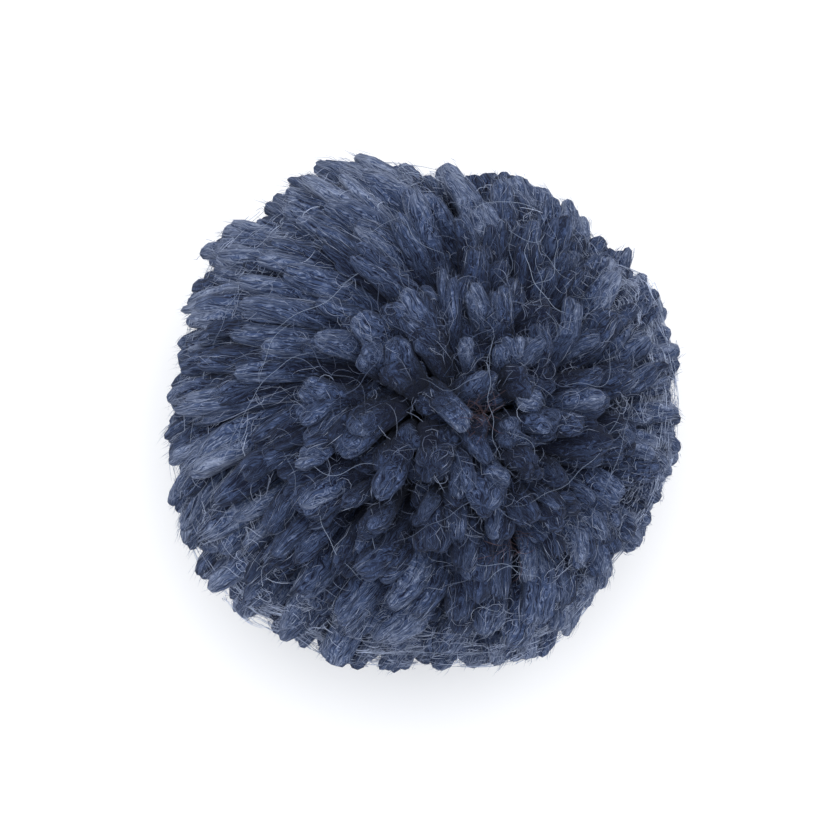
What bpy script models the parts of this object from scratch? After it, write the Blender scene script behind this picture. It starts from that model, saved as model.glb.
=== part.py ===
"""A yarn pom pom: one bundle of cut yarn, pinched in its middle, whose ends fan out into a ball.

Run with: blender --background --python part.py
Metres, +Z up. The origin is on the surface that the ball rests on, under the middle of its box.

The yarn ends are gathered into locks of three or four sides. Every lock grows out of one facet of the
heart, the pinched middle, where the roots of all locks are fused, and stands apart from its neighbours
from there to its tip. The locks first stand straight out, each inside its own cone of space. Then one
smooth bend is laid over the whole ball, so that they lean and part but never cross.
"""

import math
import random

import bmesh
import bpy
from mathutils import Matrix, Vector, noise

# Driving dimensions, in metres.
WIDTH = 0.1000  # across the ball, along X
DEPTH = 0.0995  # across the ball, along Y
HEIGHT = 0.0940  # from the surface below to the highest tip
BALL_RADIUS = 0.0500  # from the heart's centre to a free tip, before the ball is trimmed to size
HEART_RADIUS = 0.0150  # the pinched middle of the bundle
HEART_HEIGHT = 0.0455  # the heart's centre above the surface: the ball has sunk onto its lowest locks

# How the locks are spread, and how uneven they are.
SPIRAL_POINTS = 268  # corners of the heart's facets; about 20 more facets than corners
SPREAD_JITTER = 0.0030  # how far a corner strays on the ball's surface
CUT_SHORT = 0.0034  # the most that a lock falls short of the ball
CUT_LONG = 0.0014  # the most that a lock stands proud of it
FOOT_REACH = 0.0016  # a tip that ends this close above the surface is long enough to reach it
FLOOR_GAP = 0.0006  # the least height of a lock that doesn't reach the surface
ROOT_GAP = 0.0002  # half of the groove between two roots
SHORTEST_SHARE = 0.5  # the least of its length that a standing lock may be cut to, to reach the surface
LONGEST_SHARE = 1.2  # the most that it may be drawn out to
HALVINGS = 40  # steps of the search for that length
TRIM = 0.99  # what is left of a lock that touches the surface, at each snip
SEED = 3

# One row for each ring of a lock: how far out along the lock it is, how much of the lock's own cone it
# may fill, and the most that a corner stands from the lock's middle. The last ring is the cut end.
RINGS = (
    ("root", 0.00, 0.84, 0.0020),
    ("neck", 0.32, 0.86, 0.0034),
    ("belly", 0.68, 0.85, 0.0064),
    ("shoulder", 0.90, 0.83, 0.0078),
    ("tip", 1.00, 0.60, 0.0042),
)
FOOT = ("foot", 1.00, 0.80, 0.0044)  # a cut end that stands on the surface, spread by the weight
FILL_CHANGE = 0.06  # how much fuller or thinner one lock is than the next

# The parting: locks fall away from a crown a little off the top, most of all on the ball's shoulder, and
# less towards one side, where they stand up.
CROWN = Vector((0.0025, 0.0040, 0.0500)).normalized()
FALL = math.radians(26)
FALL_CURVE = 1.6  # 1 for a straight lean from the root; more for locks that bend over near their tips
FALL_PEAK = math.acos(3 / 4)  # the angle from the crown at which the locks fall most
ON_CROWN = 1e-4  # an angle from the crown that counts as none
UPRIGHT_AZIMUTH = math.radians(-42)
UPRIGHT_SHARE = 0.5  # how much less they fall on that side
# One row for each layer of wandering, in which a tip strays sideways together with its neighbours: how
# far, and the distance over which it changes.
WANDER = (
    ("sweep", 0.0030, 0.026),
    ("tousle", 0.0010, 0.012),
)

# The ball's outline from above: azimuth in degrees from +X towards +Y, and radius.
OUTLINE = (
    (0, 0.0511),
    (30, 0.0514),
    (60, 0.0506),
    (80, 0.0478),
    (100, 0.0508),
    (120, 0.0513),
    (140, 0.0515),
    (165, 0.0480),
    (190, 0.0496),
    (220, 0.0523),
    (240, 0.0493),
    (270, 0.0484),
    (295, 0.0514),
    (325, 0.0486),
    (350, 0.0508),
    (360, 0.0511),
)

CREASE_ANGLE = math.radians(60)  # edges sharper than this stay crisp
GOLDEN_ANGLE = math.pi * (3 - math.sqrt(5))
HEART_CENTRE = Vector((0, 0, HEART_HEIGHT))


def clear_scene():
    for thing in list(bpy.data.objects):
        bpy.data.objects.remove(thing)


def yarn_material():
    """Soft blue wool: dull, with no shine of its own."""
    material = bpy.data.materials.new("blue_yarn")
    material.use_nodes = True
    shader = material.node_tree.nodes["Principled BSDF"]
    shader.inputs["Base Color"].default_value = (0.060, 0.090, 0.180, 1)
    shader.inputs["Roughness"].default_value = 0.95
    shader.inputs["Metallic"].default_value = 0.0
    return material


def smooth_step(x):
    x = min(max(x, 0), 1)
    return x * x * (3 - 2 * x)


def outline_radius(azimuth):
    """The outline's radius at an azimuth in degrees, eased between the rows of OUTLINE."""
    azimuth %= 360
    for (low, near), (high, far) in zip(OUTLINE, OUTLINE[1:]):
        if low <= azimuth <= high:
            return near + (far - near) * smooth_step((azimuth - low) / (high - low))


def reach(direction):
    """How far a lock may grow in this direction before it is trimmed or levelled."""
    azimuth = math.degrees(math.atan2(direction.y, direction.x))
    level = direction.x**2 + direction.y**2
    return BALL_RADIUS + level * (outline_radius(azimuth) - BALL_RADIUS)


def fall_share(angle):
    """How much of the full fall a lock has at an angle from the crown: none at the crown and underneath."""
    return math.sin(angle) * (1 + math.cos(angle)) ** 3


def bent(point):
    """Where a point of the straight ball, measured from the heart's centre, ends up in the pom pom."""
    grown = max(point.length - HEART_RADIUS, 0) / (BALL_RADIUS - HEART_RADIUS)
    angle = point.angle(CROWN)
    side = math.cos(math.atan2(point.y, point.x) - UPRIGHT_AZIMUTH)
    fall = FALL * grown**FALL_CURVE * fall_share(angle) / fall_share(FALL_PEAK)
    fall *= 1 - UPRIGHT_SHARE * smooth_step((1 + side) / 2)
    place = Matrix.Rotation(fall, 3, CROWN.cross(point)) @ point if angle > ON_CROWN else point.copy()
    for _, far, pitch in WANDER:
        place += noise.noise_vector(point / pitch) * far * smooth_step(grown)
    return HEART_CENTRE + place


def heart_facets(chance):
    """A bmesh of the heart: a hull of points on a spiral, its triangles joined in twos where they can be."""
    heart = bmesh.new()
    for i in range(SPIRAL_POINTS):
        height = 1 - 2 * (i + 0.5) / SPIRAL_POINTS
        ring = math.sqrt(1 - height * height)
        turn = i * GOLDEN_ANGLE
        corner = Vector((ring * math.cos(turn), ring * math.sin(turn), height))
        stray = Vector([chance.uniform(-1, 1) for _ in range(3)]) * SPREAD_JITTER / BALL_RADIUS
        heart.verts.new((corner + stray).normalized() * HEART_RADIUS)
    bmesh.ops.convex_hull(heart, input=heart.verts)
    bmesh.ops.join_triangles(
        heart, faces=heart.faces, angle_face_threshold=math.pi, angle_shape_threshold=math.pi
    )
    return heart


class Lock:
    """One lock of yarn: the corners of its facet on the heart, its axis, its length and its fullness."""

    def __init__(self, corners, chance):
        self.corners = corners
        self.middle = sum(corners, Vector()) / len(corners)
        self.axis = self.middle.normalized()
        self.length = reach(self.axis) - HEART_RADIUS + chance.uniform(-CUT_SHORT, CUT_LONG)
        self.change = 1 + chance.uniform(-FILL_CHANGE, FILL_CHANGE)
        self.stands = False

    def end(self):
        """The middle of the cut end, in the pom pom."""
        return bent(self.axis * (HEART_RADIUS + self.length))

    def ring(self, row):
        """The lock's cross-section at a row of RINGS, in the pom pom."""
        _, share, fill, most = row
        widened = (HEART_RADIUS + self.length * share) / HEART_RADIUS
        centre = bent(self.middle * widened)
        points = []
        for corner in self.corners:
            side = bent((self.middle + (corner - self.middle) * fill) * widened) - centre
            side *= min(1, most / side.length) * self.change
            points.append(centre + side)
        return points

    def tip(self):
        """The ring round the cut end, which lies level where the lock stands on the surface."""
        if not self.stands:
            return self.ring(RINGS[-1])
        return [Vector((point.x, point.y, 0)) for point in self.ring(FOOT)]

    def cut(self):
        """Settles the length: down to the surface where the lock reaches it, clear of it elsewhere."""
        self.stands = self.end().z < FOOT_REACH
        if self.stands:
            short, long = SHORTEST_SHARE * self.length, LONGEST_SHARE * self.length
            for _ in range(HALVINGS):
                self.length = (short + long) / 2
                short, long = (short, self.length) if self.end().z < 0 else (self.length, long)
            return
        while min(point.z for point in self.tip()) < FLOOR_GAP:
            self.length *= TRIM


def grow(heart, facet, lock):
    """Insets a facet of the heart for the lock's root and extrudes it, ring by ring, into the lock."""
    bmesh.ops.inset_individual(heart, faces=[facet], thickness=ROOT_GAP)
    for row in RINGS:
        if row is not RINGS[0]:
            facet = bmesh.ops.extrude_discrete_faces(heart, faces=[facet])["faces"][0]
        points = lock.tip() if row is RINGS[-1] else lock.ring(row)
        for vert, point in zip(facet.verts, points):
            vert.co = point


def trim_to_size(heart):
    """Brings the ball's box to its stated width, depth and height, centred over the origin."""
    places = [vert.co for vert in heart.verts]
    low = Vector([min(place[i] for place in places) for i in range(3)])
    high = Vector([max(place[i] for place in places) for i in range(3)])
    middle = Vector(((low.x + high.x) / 2, (low.y + high.y) / 2, 0))
    scale = Matrix.Diagonal(
        (WIDTH / (high.x - low.x), DEPTH / (high.y - low.y), HEIGHT / (high.z - low.z))
    )
    for vert in heart.verts:
        vert.co = scale @ (vert.co - middle)


def build_pom_pom():
    chance = random.Random(SEED)
    heart = heart_facets(chance)
    facets = list(heart.faces)
    rims = [[vert.co.copy() for vert in facet.verts] for facet in facets]
    locks = [Lock(rim, chance) for rim in rims]
    for vert in heart.verts:
        vert.co = bent(vert.co)
    for facet, lock in zip(facets, locks):
        lock.cut()
        grow(heart, facet, lock)
    trim_to_size(heart)
    bmesh.ops.triangulate(heart, faces=heart.faces)
    bmesh.ops.recalc_face_normals(heart, faces=heart.faces)
    mesh = bpy.data.meshes.new("pom_pom")
    heart.to_mesh(mesh)
    heart.free()
    mesh.shade_smooth()
    mesh.set_sharp_from_angle(angle=CREASE_ANGLE)
    mesh.materials.append(yarn_material())
    pom_pom = bpy.data.objects.new("pom_pom", mesh)
    collection = bpy.data.collections.new("yarn_pom_pom")
    bpy.context.scene.collection.children.link(collection)
    collection.objects.link(pom_pom)
    standing = sum(lock.stands for lock in locks)
    print(f"{len(locks)} locks, {standing} of them stand on the surface, {len(mesh.polygons)} triangles")
    return pom_pom


clear_scene()
noise.seed_set(SEED)
build_pom_pom()
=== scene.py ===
# %% [markdown]
# # A yarn pom pom, end by end
#
# A pom pom is one thick bundle of wool, tied hard in its middle and cut at both ends, so that hundreds
# of yarn ends spring out into a ball. Each end is a soft rope of fine fibres, brushed open by the
# cutting. Three things make wool look like wool: the ends themselves, which lean and part and leave dark
# gaps; the fine fibres that lie along each end and fray at its tip; and the loose hairs that wander
# over the whole ball and soften its outline. This script builds each of them as real geometry.
#
# The solid model gives the frame: how wide and how high the ball is, and what it stands on.

import math

import bmesh
import bpy
import numpy as np
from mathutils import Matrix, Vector


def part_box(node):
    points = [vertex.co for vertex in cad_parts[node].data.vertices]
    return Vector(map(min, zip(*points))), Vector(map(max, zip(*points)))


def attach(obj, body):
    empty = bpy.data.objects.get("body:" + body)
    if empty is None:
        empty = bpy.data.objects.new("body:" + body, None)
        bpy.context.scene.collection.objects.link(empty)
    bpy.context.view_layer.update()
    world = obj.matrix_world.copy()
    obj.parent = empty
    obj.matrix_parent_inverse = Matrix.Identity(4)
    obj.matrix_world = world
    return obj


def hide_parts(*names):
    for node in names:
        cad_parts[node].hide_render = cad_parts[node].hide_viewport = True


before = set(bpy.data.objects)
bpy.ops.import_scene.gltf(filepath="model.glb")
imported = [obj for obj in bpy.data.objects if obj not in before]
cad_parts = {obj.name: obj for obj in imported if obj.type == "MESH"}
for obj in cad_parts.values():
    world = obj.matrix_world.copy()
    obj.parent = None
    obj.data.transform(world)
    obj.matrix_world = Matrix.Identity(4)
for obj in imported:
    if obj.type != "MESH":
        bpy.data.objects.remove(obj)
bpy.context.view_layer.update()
low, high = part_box("pom_pom")
solid_sides = [round(1000 * side, 1) for side in high - low]
print("the frame has", len(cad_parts), "solid, with sides of", solid_sides, "mm")

# %% [markdown]
# ## The size of the ball
#
# Everything is measured from the heart, the pinched middle of the bundle. The ball has sunk a little
# onto its lowest ends, so the heart lies lower than the ball's radius. All lengths are in metres.

# %% Size of the ball
BOX_DIGITS = 4  # the solid's box is read to a tenth of a millimetre
CROWN_HEIGHT = 0.0485  # from the heart's centre to the highest tips
HEART_RADIUS = 0.0150  # where the ends begin to spread
width, _, height = np.round(np.array(high - low, float), BOX_DIGITS)
BALL_RADIUS = float(width) / 2
HEART_CENTRE = np.array((0, 0, round(float(height) - CROWN_HEIGHT, BOX_DIGITS)))
print("radius", 1000 * BALL_RADIUS, "mm; the heart lies", round(1000 * HEART_CENTRE[2], 1), "mm up")

# %% [markdown]
# ## Crowds of points
#
# Every shape below is a crowd of points in a NumPy array, whose last axis is x, y, z. One line then
# moves all of them at once, which would take minutes in a Python loop. The first helpers measure such
# a crowd, give its directions from the middle, and ease a number from 0 to 1 without a corner.


# %% Lengths, directions and easing
def lengths(vectors):
    return np.linalg.norm(vectors, axis=-1, keepdims=True)


def unit(vectors):
    return vectors / np.maximum(lengths(vectors), 1e-12)


def smooth_step(x):
    x = np.clip(x, 0, 1)
    return x * x * (3 - 2 * x)


print("halfway, the easing gives", smooth_step(0.5))

# %% [markdown]
# ## Neighbours stray together
#
# No end stands quite where a plan would put it, but ends that touch are pushed the same way. A random
# number for each end would make a scrubbing brush. A sum of a few sine waves that run in random
# directions is smooth instead, so that points close together stray alike.

# %% Drift
# One row for each layer of straying: how far the tips go, and over what distance that changes.
WANDER = (
    ("sweep", 0.0016, 0.024),
    ("tousle", 0.0008, 0.009),
)
WAVES = 7  # for each of x, y and z
WAVE_SPREAD = (0.7, 1.3)  # how unlike each other the waves are


def drift(points, pitch, seed):
    """A smooth wandering of points, about 1 each way, that changes over a distance of pitch."""
    luck = np.random.default_rng(seed)
    travel = luck.normal(size=(3, 3 * WAVES))
    travel *= luck.uniform(*WAVE_SPREAD, 3 * WAVES) * math.pi / pitch / lengths(travel.T).T
    swing = np.sin(points @ travel + luck.uniform(0, 2 * math.pi, 3 * WAVES))
    return swing.reshape(*points.shape[:-1], 3, WAVES).sum(-1) / math.sqrt(WAVES / 2)


print("neighbours stray together in", len(WANDER), "layers")

# %% [markdown]
# ## The outline
#
# The ball is cut by hand with scissors, so its outline is a little lumpy. A short table round the
# ball, seen from above, gives its radius, and all directions between are read off it. Higher up, the
# lumps fade, because they belong to the sides.

# %% Outline
# Azimuth in degrees from +X towards +Y, and radius.
OUTLINE = (
    (0, 0.0490),
    (20, 0.0494),
    (30, 0.0514),
    (40, 0.0456),
    (60, 0.0500),
    (80, 0.0460),
    (95, 0.0484),
    (110, 0.0512),
    (125, 0.0506),
    (140, 0.0511),
    (168, 0.0472),
    (180, 0.0482),
    (192, 0.0503),
    (205, 0.0508),
    (220, 0.0531),
    (230, 0.0528),
    (240, 0.0496),
    (250, 0.0512),
    (270, 0.0479),
    (290, 0.0512),
    (302, 0.0507),
    (320, 0.0461),
    (335, 0.0470),
    (350, 0.0486),
    (360, 0.0490),
)


def round_table(table, directions):
    """Reads a table of azimuths and values at the azimuths of these directions."""
    azimuths, values = np.array(table).T
    azimuth = np.degrees(np.arctan2(directions[..., 1], directions[..., 0])) % 360
    return np.interp(azimuth, azimuths, values)


def reach(directions):
    """How far the ball reaches in these directions."""
    sideways = directions[..., 0] ** 2 + directions[..., 1] ** 2
    return BALL_RADIUS + sideways * (round_table(OUTLINE, directions) - BALL_RADIUS)


radii_round = [radius for _, radius in OUTLINE]
print("the outline runs from", 1000 * min(radii_round), "to", 1000 * max(radii_round), "mm")

# %% [markdown]
# ## The fall from the parting
#
# First the ball is thought of as straight: every yarn end points straight out from the heart. Then one
# smooth bend is laid over all of it. Points near the parting, a short line on top where the pile
# divides, swing away from it, so the ends lean outwards and lie over each other like thatch. On one
# side they stand up more. The swing is a rotation about an axis across each end, and it grows towards
# the tip, so the ends curve.

# %% Fall
PARTING_X = 0.07  # where the parting crosses the top, as a share of the radius
PARTING_REACH = (-0.06, 0.16)  # from its near to its far end, in radians along Y
FALL = math.radians(35)  # how far the ends swing from the parting
FALL_ONSET = 0.6  # how suddenly the fall sets in beside the parting: less is more sudden
FALL_CURVE = 2.4  # 1 for a straight lean from the root; more for ends that bend over near their tips
UPRIGHT_AZIMUTH = math.radians(-42)
UPRIGHT_SHARE = 0.55  # how much less the ends fall on that side


def parting(directions):
    """The point of the parting that is nearest to each direction."""
    along = np.arctan2(directions[..., 1], directions[..., 2])
    along = np.clip(along, *PARTING_REACH)
    return unit(np.stack([np.full_like(along, PARTING_X), np.sin(along), np.cos(along)], -1))


def fall_share(sine, cosine):
    """The share of the full fall at an angle from the parting, given by its sine and cosine."""
    peak = 3 / (3 + FALL_ONSET)  # the cosine at which the last line's product is highest
    highest = (1 - peak**2) ** (FALL_ONSET / 2) * (1 + peak) ** 3
    return sine**FALL_ONSET * (1 + cosine) ** 3 / highest


def fallen(points, grown):
    """Swings points away from the parting. grown is how far out they are, from 0 to 1."""
    facing = unit(points)
    nearest = parting(facing)
    axis = np.cross(nearest, facing)
    cosine = (nearest * facing).sum(-1, keepdims=True)
    fall = FALL * grown**FALL_CURVE * fall_share(lengths(axis), cosine)
    side = np.cos(np.arctan2(points[..., 1:2], points[..., 0:1]) - UPRIGHT_AZIMUTH)
    fall = fall * (1 - UPRIGHT_SHARE * smooth_step((1 + side) / 2))
    return points * np.cos(fall) + np.cross(unit(axis), points) * np.sin(fall)


print("the fall moves a tip at most", round(1000 * BALL_RADIUS * FALL, 1), "mm")

# %% [markdown]
# ## The whole bend
#
# A hand has also brushed the pile round, more on one side than on another, which a second short table
# gives. Fall, sweep and straying together are one function. The ends, their fibres and the loose hairs
# all go through it, so nothing has to be fitted afterwards.

# %% Bend
# How far the tips are swept round the ball, seen from above: azimuth in degrees from +X, and degrees.
SWIRL = (
    (0, 4),
    (20, 16),
    (45, 26),
    (90, 23),
    (140, 20),
    (190, 20),
    (222, 4),
    (240, 0),
    (262, -6),
    (290, -18),
    (320, -20),
    (345, -8),
    (360, 4),
)
SWIRL_CURVE = 3  # high, so that only the outer part of an end is swept along
SWIRL_LIMIT = 1.1  # past this share of the radius, nothing is swept further


def bent(points):
    """Where points of the straight ball, measured from the heart, end up in the pom pom."""
    grown = np.clip((lengths(points) - HEART_RADIUS) / (BALL_RADIUS - HEART_RADIUS), 0, None)
    place = fallen(points, grown)
    sweep = np.radians(round_table(SWIRL, points)) * np.minimum(grown[..., 0], SWIRL_LIMIT) ** SWIRL_CURVE
    turned = (place[..., 0] + 1j * place[..., 1]) * np.exp(1j * sweep)
    place = np.stack([turned.real, turned.imag, place[..., 2]], -1)
    for seed, (_, far, pitch) in enumerate(WANDER):
        place = place + drift(points, pitch, seed) * far * smooth_step(grown)
    return place + HEART_CENTRE


print("the sweep is", max(degrees for _, degrees in SWIRL), "degrees where it is strongest")

# %% [markdown]
# ## Tubes by the thousand
#
# A yarn end and a single fibre are the same kind of shape: a closed tube along a path. A curve object
# with a bevel would do for one of them. For tens of thousands, one function makes a whole crowd in a
# single mesh, from a block of numbers with four sides: which tube, which ring along it, which corner of
# the ring, and x, y, z. The corners of a ring lie on two directions across the path.

# %% Rings round paths
NOT_ALONG = np.array((0.31, -0.52, 0.79))  # a direction that hardly any path follows


def frames_along(paths):
    """The direction of each path at each of its points, and two directions across it."""
    ahead = unit(np.gradient(paths, axis=1))
    guess = np.cross(ahead[:, :1], NOT_ALONG)
    across = unit(guess - (guess * ahead).sum(-1, keepdims=True) * ahead)
    return ahead, across, np.cross(ahead, across)


def rings_round(paths, radii, sides):
    """Rings of corners round each path; radii may differ from corner to corner."""
    _, across, over = frames_along(paths)
    angles = np.linspace(0, 2 * math.pi, sides, endpoint=False)
    spokes = across[:, :, None] * np.cos(angles)[..., None] + over[:, :, None] * np.sin(angles)[..., None]
    return paths[:, :, None] + spokes * radii[..., None]


line = np.linspace((0, 0, 0), (0, 0, 1), 3)[None]
print("a test tube's rings have the shape", rings_round(line, np.ones((1, 3, 8)), 8).shape)

# %% [markdown]
# ## Faces and the floor
#
# Quads join each ring to the next, and a fan of triangles closes each end, so every tube is watertight.
# What would sink into the surface below is pressed flat, softly, as the weight of the ball does.

# %% Faces of the tubes
PRESS = 0.0006  # how gently the lowest fibres flatten on the surface


def press(places):
    """Flattens what would sink into the surface."""
    places = places.copy()
    places[..., 2] = PRESS * np.logaddexp(0, places[..., 2] / PRESS)
    return places


def tube_faces(count, steps, sides):
    """The faces of closed tubes. Their corners come first, then all their starts, then all their ends."""
    index = np.arange(count * steps * sides).reshape(count, steps, sides)
    after = np.roll(index, -1, axis=2)
    quads = np.stack([index[:, :-1], after[:, :-1], after[:, 1:], index[:, 1:]], -1)
    first = np.broadcast_to(index.size + np.arange(count)[:, None], (count, sides))
    start_fans = np.stack([first, after[:, 0], index[:, 0]], -1)
    end_fans = np.stack([first + count, index[:, -1], after[:, -1]], -1)
    triangles = np.concatenate([start_fans.reshape(-1, 3), end_fans.reshape(-1, 3)])
    return quads.reshape(-1, 4).tolist() + triangles.tolist()


print("one tube of 4 rings with 8 corners has", len(tube_faces(1, 4, 8)), "faces")

# %% [markdown]
# ## A drawing for each shade
#
# Wool is drawn on a UV map, in which u runs round a tube and v along it. The map is cut into small
# cells, one for each shade of wool, and every tube takes the cell of its shade, so thousands of tubes
# share a few dozen drawings. On a wisp the drawing runs out and back, which hides the seam.

# %% The UV map
MAPS = ("wool", "OFBake")  # the same layout twice: one for the drawing, and a second one named OFBake
CELL_EDGE = 0.06  # the share of a cell that stays empty on each side


def drawing(along, sides, fold):
    """The UV places of one tube's quads, its start fan and its end fan, from 0 to 1."""
    around = np.arange(sides + 1) / sides
    if fold:
        around = 1 - np.abs(2 * around - 1)
    u, v = np.meshgrid(around, along)
    quads = np.array([
        (u[:-1, :-1], v[:-1, :-1]),
        (u[:-1, 1:], v[:-1, 1:]),
        (u[1:, 1:], v[1:, 1:]),
        (u[1:, :-1], v[1:, :-1]),
    ])
    near, far = around[:-1], around[1:]
    start, first, last, end = (np.full(sides, height) for height in (0, along[0], along[-1], 1))
    start_fan = np.array([((near + far) / 2, start), (far, first), (near, first)])
    end_fan = np.array([((near + far) / 2, end), (near, last), (far, last)])
    return quads.transpose(2, 3, 0, 1), start_fan.transpose(2, 0, 1), end_fan.transpose(2, 0, 1)


def lay_out(mesh, cells, grid, along, sides, fold):
    """Gives each tube the drawing in its own cell of the map."""
    columns, rows = grid
    corner = np.stack([cells % columns, cells // columns], -1)[:, None]
    blocks = []
    for part in drawing(along, sides, fold):
        inside = corner + CELL_EDGE + part.reshape(1, -1, 2) * (1 - 2 * CELL_EDGE)
        blocks.append((inside / np.array((columns, rows))).reshape(-1, 2))
    for name in MAPS:
        mesh.uv_layers.new(name=name).data.foreach_set("uv", np.concatenate(blocks).ravel())


print("a drawing fills", round((1 - 2 * CELL_EDGE) ** 2, 2), "of its cell")

# %% [markdown]
# ## The tube maker
#
# This puts the parts together: places, faces, map, and the tone of each tube as an attribute on its
# points, which the materials read. A tone is one number from 0, deep and dark, to 1, light: its dark end
# is painted shade deep in the pile, and its light end is partly pale wool and partly painted light on
# open tips and the worn rim.
# Every object stays at the origin, unturned, with its place in its mesh.


# %% One mesh from many tubes
def in_scene(name, data):
    """A new object at the origin that shows some data: a mesh, a lamp or a camera."""
    thing = bpy.data.objects.new(name, data)
    bpy.context.scene.collection.objects.link(thing)
    return thing


def triangles_in(piece):
    return sum(len(face.vertices) - 2 for face in piece.data.polygons)


def tubes(name, starts, rings, ends, along, tones, grid, fold):
    """A piece of closed tubes. along is each ring's height in the drawing, and tones run from 0 to 1."""
    count, steps, sides, _ = rings.shape
    shades = grid[0] * grid[1]
    cells = np.clip(tones * shades, 0, shades - 1).astype(int)
    mesh = bpy.data.meshes.new(name)
    places = np.concatenate([press(rings).reshape(-1, 3), press(starts), press(ends)])
    mesh.from_pydata(places, [], tube_faces(count, steps, sides))
    lay_out(mesh, cells, grid, along, sides, fold)
    owner = np.concatenate([np.repeat(np.arange(count), steps * sides), np.arange(count), np.arange(count)])
    tone = ((cells + 0.5) / shades)[owner].astype(np.float32)
    mesh.attributes.new("tone", "FLOAT", "POINT").data.foreach_set("value", tone)
    mesh.shade_smooth()
    return in_scene(name, mesh)


print("the tube maker is ready")

# %% [markdown]
# ## Where the yarn ends go
#
# Cut tips cover the finished ball evenly, as seeds do a sunflower head: each one turns by the golden
# angle from the last. That spiral is laid over the finished, bent ball. But an end is built in the
# straight ball, so its direction there has to be found: it is nudged, again and again, until the bend
# takes it to its own place on the spiral.

# %% Directions of the ends
ENDS = 990
GOLDEN_ANGLE = math.pi * (3 - math.sqrt(5))
STRAY = 0.045  # how far a tip strays from the spiral, in radians
NUDGES, NUDGE = 25, 0.6  # how many, and the share of the miss that each makes up
chance = np.random.default_rng(5)

seed_height = 1 - 2 * (np.arange(ENDS) + 0.5) / ENDS
seed_turn = np.arange(ENDS) * GOLDEN_ANGLE
seed_level = np.sqrt(1 - seed_height**2)
spiral = np.stack([seed_level * np.cos(seed_turn), seed_level * np.sin(seed_turn), seed_height], -1)
spiral = unit(spiral + chance.normal(size=(ENDS, 3)) * STRAY)
directions = spiral.copy()
for _ in range(NUDGES):
    miss = spiral - unit(bent(directions * BALL_RADIUS) - HEART_CENTRE)
    directions = unit(directions + NUDGE * miss)
print(ENDS, "tips miss the spiral by", round(1000 * BALL_RADIUS * float(lengths(miss).mean()), 2), "mm")

# %% [markdown]
# ## The trim
#
# Scissors cut the ends to the outline, most of them a little short, and with more care at the sides,
# where a lump would show. The lowest ends are snipped until they clear the surface by half their
# thickness, which gives the ball its small flat spot.

# %% Trim the ball
CUT_SHORT = 0.0046  # the most that an end falls short of the outline
CUT_LONG = 0.0012  # the most that it stands out
CUT_LUCK = 1.8  # higher for fewer ends that are cut very short
CUT_CARE = 0.40  # how uneven the sides are, as a share of how uneven the top is
FRAY_LONG = 0.0002  # what the brushed tips add to the cut ends
TRIMS = 6  # how often an end is measured and cut again, as the bend moves its tip
TIP_CLEAR = 0.0022  # the lowest that the middle of a tip lies
SNIPS, SNIP = 30, 0.0003  # how many for the lowest ends, and how long each is


def tips_at(radii):
    """Where the tips of the ends are, measured from the heart, if they end at these radii."""
    return bent(directions * radii[:, None]) - HEART_CENTRE


short = chance.uniform(0, 1, ENDS) ** CUT_LUCK * (CUT_SHORT + CUT_LONG) - CUT_LONG
short = short * (CUT_CARE + (1 - CUT_CARE) * directions[:, 2] ** 2)
tip_radius = np.full(ENDS, BALL_RADIUS)
for _ in range(TRIMS):
    trimmed_tips = tips_at(tip_radius)
    tip_radius += reach(unit(trimmed_tips)) - FRAY_LONG - short - lengths(trimmed_tips)[:, 0]
lowest = TIP_CLEAR - HEART_CENTRE[2]
for _ in range(SNIPS):
    tip_radius = np.where(tips_at(tip_radius)[:, 2] < lowest, tip_radius - SNIP, tip_radius)
print((tips_at(tip_radius)[:, 2] < lowest + 0.001).sum(), "ends stand on the surface")

# %% [markdown]
# ## Tufts placed one by one
#
# Round the parting the pile is at its most irregular, and the eye goes there first. These tufts are
# placed one by one: where the tip is seen from above, where the tuft comes out from under its
# neighbours, and how broad it is. A table in millimetres is easy to read and to change.

# %% Tufts round the parting
# Tip x, tip y, base x, base y and breadth, in millimetres.
TUFTS = (
    (-4.7, 21.2, 0.8, 10.9, 5.8),
    (-11.5, 17.4, -4.7, 10.9, 6.6),
    (0.2, 20.8, 5.2, 6.6, 3.4),
    (-2.3, 15.7, 4.5, 7.2, 3.8),
    (-5.0, 12.3, -2.0, 4.4, 5.2),
    (6.6, -3.1, 1.1, 5.8, 4.0),
    (-15.5, -7.0, -5.0, 1.6, 4.8),
    (-11.5, -3.8, -6.1, 2.5, 4.0),
    (-9.5, -15.1, -2.7, -2.8, 5.4),
    (-20.6, -19.9, -10.3, -9.6, 4.6),
    (-20.6, -7.9, -15.0, -1.9, 4.6),
    (-24.0, -15.6, -12.9, -7.9, 4.8),
    (-20.4, 6.1, -12.9, 1.5, 5.6),
    (2.5, 24.6, 6.4, 7.2, 4.0),
    (14.4, 22.5, 10.5, 10.9, 4.4),
    (12.2, 12.3, 13.9, 6.1, 3.8),
    (26.9, 19.8, 20.9, 4.9, 4.6),
    (14.8, 2.0, 20.9, 3.2, 4.6),
    (15.3, -4.5, 14.0, -3.5, 5.0),
    (0.1, -11.3, 1.1, -2.1, 4.4),
    (10.5, -8.0, 7.0, -0.5, 4.6),
    (11.0, 5.5, 5.5, 1.5, 4.4),
    (6.0, -14.5, 5.0, -6.0, 4.6),
    (14.0, -13.0, 10.0, -6.5, 4.8),
    (-12.5, 10.5, -6.0, 6.5, 4.6),
    (20.0, 11.0, 13.0, 6.5, 4.6),
    (21.5, -3.0, 15.0, -1.5, 4.8),
    (12.2, 20.8, 14.8, 10.9, 4.2),
    (7.6, 21.2, 10.7, 11.8, 4.2),
    (16.1, 14.3, 17.9, 6.6, 4.0),
    (20.4, 16.0, 20.9, 7.1, 4.2),
    (6.5, 12.5, 9.0, 5.0, 3.6),
)
TIP_DEPTH = 0.0008  # how far the middle of a tuft's tip lies below the highest tips
BASE_DEPTH = 0.004  # how deep a tuft comes out from between its neighbours


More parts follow.
